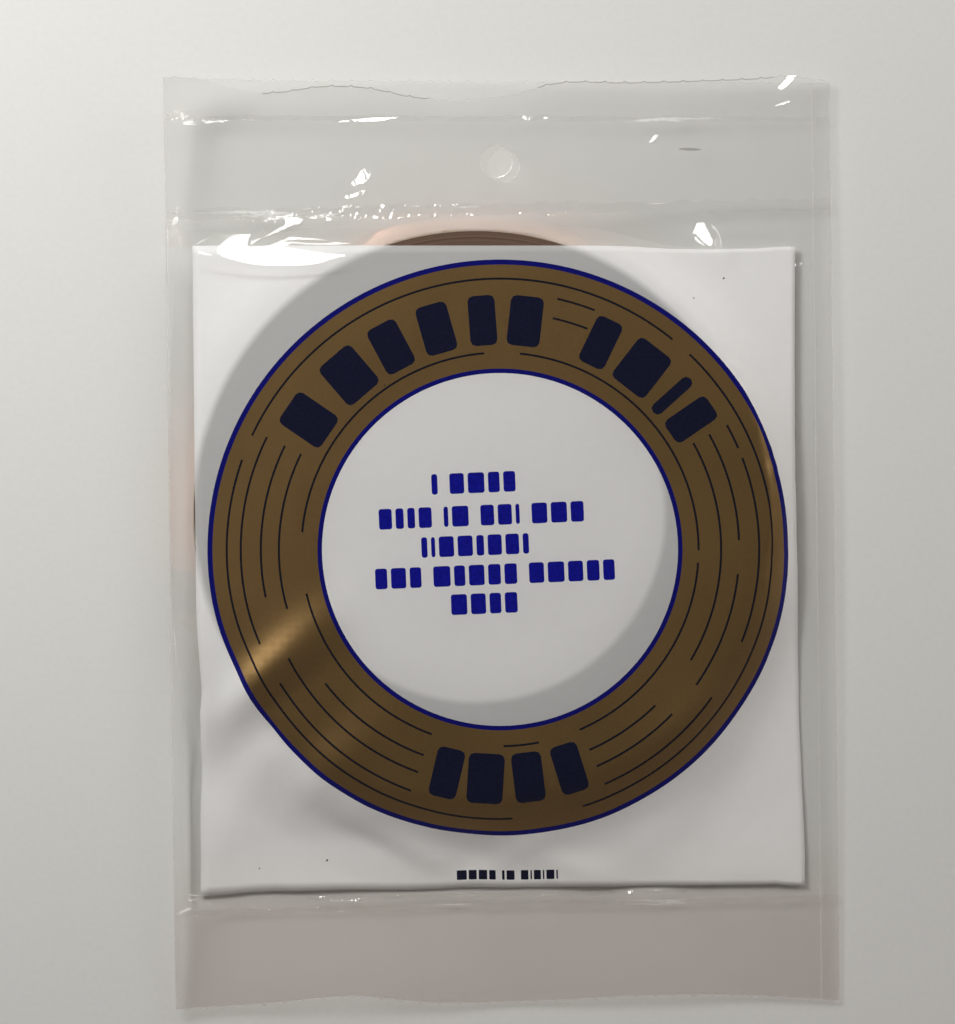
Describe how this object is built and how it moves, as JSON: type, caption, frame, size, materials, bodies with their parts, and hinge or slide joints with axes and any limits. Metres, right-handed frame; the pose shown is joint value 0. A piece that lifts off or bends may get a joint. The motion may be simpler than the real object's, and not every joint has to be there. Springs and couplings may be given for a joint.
{
  "type": "copper foil tape roll",
  "caption": "Roll of adhesive copper foil tape on a cardboard core, packed flat behind a printed label card in a clear welded film bag with a hang hole in its header.",
  "frame": {"origin": "under the middle of the package, on the surface it lies on, which is the middle of its bounding box's base", "axes": "+Z out of the package's face, through the label card; +Y along the package towards the header with the hang hole; +X to the right of someone looking at the face with the header up"},
  "size_m": [0.133, 0.186, 0.0061],
  "materials": {
    "clear_film": "gloss",
    "film_weld": "gloss",
    "label_paper": "matte",
    "core_board": "matte",
    "wound_tape": "satin",
    "liner_paper": "matte",
    "adhesive": "matte",
    "copper_foil": "polished"
  },
  "bodies": {
    "pocket": {"pocket_back_film": "clear_film", "pocket_front_film": "clear_film", "header_weld": "film_weld", "bottom_weld": "film_weld", "side_seam": "film_weld"},
    "header": {"header_back_film": "clear_film", "header_front_film": "clear_film", "top_weld": "film_weld"},
    "tail": {"tail_back_film": "clear_film", "tail_front_film": "clear_film"},
    "card": {"label_card": "label_paper"},
    "roll": {"cardboard_core": "core_board", "wound_tape": "wound_tape", "outer_turn_liner": "liner_paper", "outer_turn_adhesive": "adhesive", "outer_turn_foil": "copper_foil"}
  },
  "joints": [
    {"name": "header_fold", "type": "hinge", "parent": "pocket", "child": "header", "pos_m": [0, 0.0674, 0.00025], "axis": [1, 0, 0], "range_deg": [-90, 90]},
    {"name": "tail_fold", "type": "hinge", "parent": "pocket", "child": "tail", "pos_m": [0, -0.0743, 0.00025], "axis": [1, 0, 0], "range_deg": [-90, 90]},
    {"name": "card_shift", "type": "slide", "parent": "pocket", "child": "card", "axis": [1, 0, 0], "range_m": [-0.002, 0.002]},
    {"name": "roll_spin", "type": "hinge", "parent": "pocket", "child": "roll", "pos_m": [-0.0054, 0.0058, 0.00278], "axis": [0, 0, 1], "continuous": true}
  ]
}
